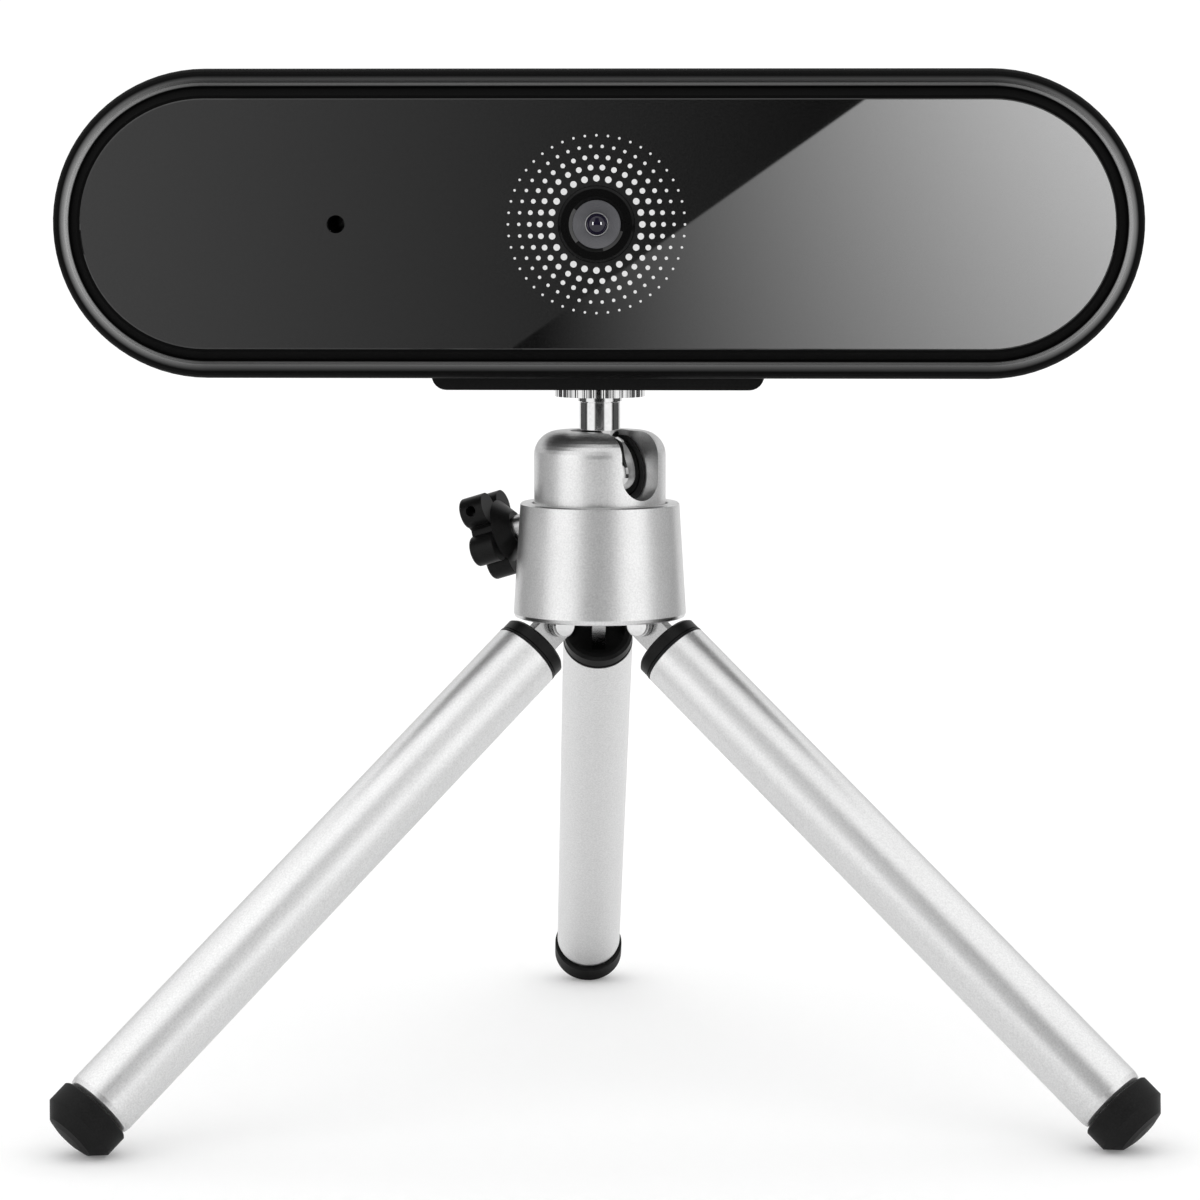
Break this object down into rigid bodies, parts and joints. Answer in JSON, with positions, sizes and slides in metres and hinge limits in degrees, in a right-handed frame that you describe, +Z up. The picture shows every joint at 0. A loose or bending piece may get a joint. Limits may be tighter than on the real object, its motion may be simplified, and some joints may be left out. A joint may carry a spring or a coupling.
{
  "type": "webcam on tripod",
  "caption": "Stadium-faced webcam with a folded monitor clip, screwed onto a mini tripod with a ball head, side lock knob and telescopic folding legs.",
  "frame": {"origin": "point on the table under the tripod's axis, at the height of the feet", "axes": "+X to the right of someone facing the lens, along the webcam's length; -Y the way the lens looks; +Z up the tripod's axis"},
  "size_m": [0.1103, 0.0977, 0.1055],
  "materials": {
    "satin_aluminium": "satin anodised",
    "inner_tube_steel": "drawn, bright",
    "polished_chrome": "polished",
    "hinge_steel": "bright",
    "fastener_steel": "bright zinc",
    "black_leg_plastic": "semi-matte",
    "foot_rubber": "soft matte",
    "knob_plastic": "semi-matte",
    "liner_plastic": "matte",
    "insert_brass": "turned",
    "clip_plastic": "satin",
    "pad_rubber": "matte",
    "housing_plastic": "fine satin",
    "bezel_plastic": "satin",
    "face_gloss": "high gloss over a fine grain",
    "lens_ring_plastic": "gloss",
    "lens_barrel_metal": "black anodised",
    "lens_glass": "coated",
    "filter_glass": "clear",
    "sensor_black": "gloss",
    "board_green": "solder mask",
    "microphone_metal": "bright",
    "header_white": "matte"
  },
  "bodies": {
    "tripod_base": {"collar_shell": "satin_aluminium", "hinge_hub": "hinge_steel", "leg_hinge_pins": "polished_chrome", "hub_screw": "fastener_steel", "ball_socket_dome": "satin_aluminium", "socket_liner": "liner_plastic", "ball_seat": "liner_plastic"},
    "lock_knob": {"lock_knob": "knob_plastic", "knob_screw": "fastener_steel"},
    "ball": {"ball_stem": "polished_chrome", "mount_disc": "polished_chrome", "tripod_screw": "polished_chrome"},
    "clip_foot": {"clip_foot": "clip_plastic", "thread_insert": "insert_brass", "foot_pads": "pad_rubber", "foot_hinge_pin": "fastener_steel"},
    "clip_arm": {"clip_arm": "clip_plastic", "arm_pads": "pad_rubber", "tilt_hinge_pin": "fastener_steel"},
    "webcam": {"rear_housing": "housing_plastic", "front_bezel": "bezel_plastic", "face_panel": "face_gloss", "lens_ring": "lens_ring_plastic", "lens_barrel": "lens_barrel_metal", "front_lens": "lens_glass", "rear_lens": "lens_glass", "lens_holder": "lens_ring_plastic", "ir_filter": "filter_glass", "image_sensor": "sensor_black", "main_board": "board_green", "board_screws": "fastener_steel", "microphone": "microphone_metal", "mic_gasket": "pad_rubber", "usb_header": "header_white", "cable_grommet": "pad_rubber", "case_screws": "fastener_steel"},
    "left_leg": {"left_leg_tongue": "hinge_steel", "left_leg_plug": "black_leg_plastic", "left_leg_tube": "satin_aluminium"},
    "left_extension": {"left_leg_inner_tube": "inner_tube_steel", "left_leg_slide_bush": "black_leg_plastic", "left_leg_foot_cap": "foot_rubber"},
    "right_leg": {"right_leg_tongue": "hinge_steel", "right_leg_plug": "black_leg_plastic", "right_leg_tube": "satin_aluminium"},
    "right_extension": {"right_leg_inner_tube": "inner_tube_steel", "right_leg_slide_bush": "black_leg_plastic", "right_leg_foot_cap": "foot_rubber"},
    "rear_leg": {"rear_leg_tongue": "hinge_steel", "rear_leg_plug": "black_leg_plastic", "rear_leg_tube": "satin_aluminium"},
    "rear_extension": {"rear_leg_inner_tube": "inner_tube_steel", "rear_leg_slide_bush": "black_leg_plastic", "rear_leg_foot_cap": "foot_rubber"}
  },
  "joints": [
    {"name": "left_leg_fold", "type": "hinge", "parent": "tripod_base", "child": "left_leg", "pos_m": [-0.00445, -0.00289, 0.04907], "axis": [0.5446, -0.8387, 0], "range_deg": [0, 49.5]},
    {"name": "left_leg_extend", "type": "slide", "parent": "left_leg", "child": "left_extension", "axis": [-0.6377, -0.4141, -0.6494], "range_m": [0, 0.045]},
    {"name": "right_leg_fold", "type": "hinge", "parent": "tripod_base", "child": "right_leg", "pos_m": [0.00472, -0.00241, 0.04907], "axis": [0.454, 0.891, 0], "range_deg": [0, 49.5]},
    {"name": "right_leg_extend", "type": "slide", "parent": "right_leg", "child": "right_extension", "axis": [0.6775, -0.3452, -0.6494], "range_m": [0, 0.045]},
    {"name": "rear_leg_fold", "type": "hinge", "parent": "tripod_base", "child": "rear_leg", "pos_m": [-0.00028, 0.00529, 0.04907], "axis": [-0.9986, -0.0523, 0], "range_deg": [0, 49.5]},
    {"name": "rear_leg_extend", "type": "slide", "parent": "rear_leg", "child": "rear_extension", "axis": [-0.0398, 0.7594, -0.6494], "range_m": [0, 0.045]},
    {"name": "knob_turn", "type": "hinge", "parent": "tripod_base", "child": "lock_knob", "pos_m": [-0.00996, 0.00363, 0.05807], "axis": [-0.8986, 0.3271, -0.2924], "range_deg": [0, 270]},
    {"name": "ball_tilt", "type": "hinge", "parent": "tripod_base", "child": "ball", "pos_m": [0, 0, 0.06427], "axis": [0.7431, 0.6691, 0], "range_deg": [-8, 40]},
    {"name": "pan", "type": "hinge", "parent": "ball", "child": "clip_foot", "pos_m": [0, 0, 0.07332], "axis": [0, 0, 1], "continuous": true},
    {"name": "clip_open", "type": "hinge", "parent": "clip_foot", "child": "clip_arm", "pos_m": [0, 0.0084, 0.07712], "axis": [-1, 0, 0], "range_deg": [0, 90]},
    {"name": "webcam_tilt", "type": "hinge", "parent": "clip_arm", "child": "webcam", "pos_m": [0, 0.008, 0.08112], "axis": [-1, 0, 0], "range_deg": [0, 25]}
  ]
}
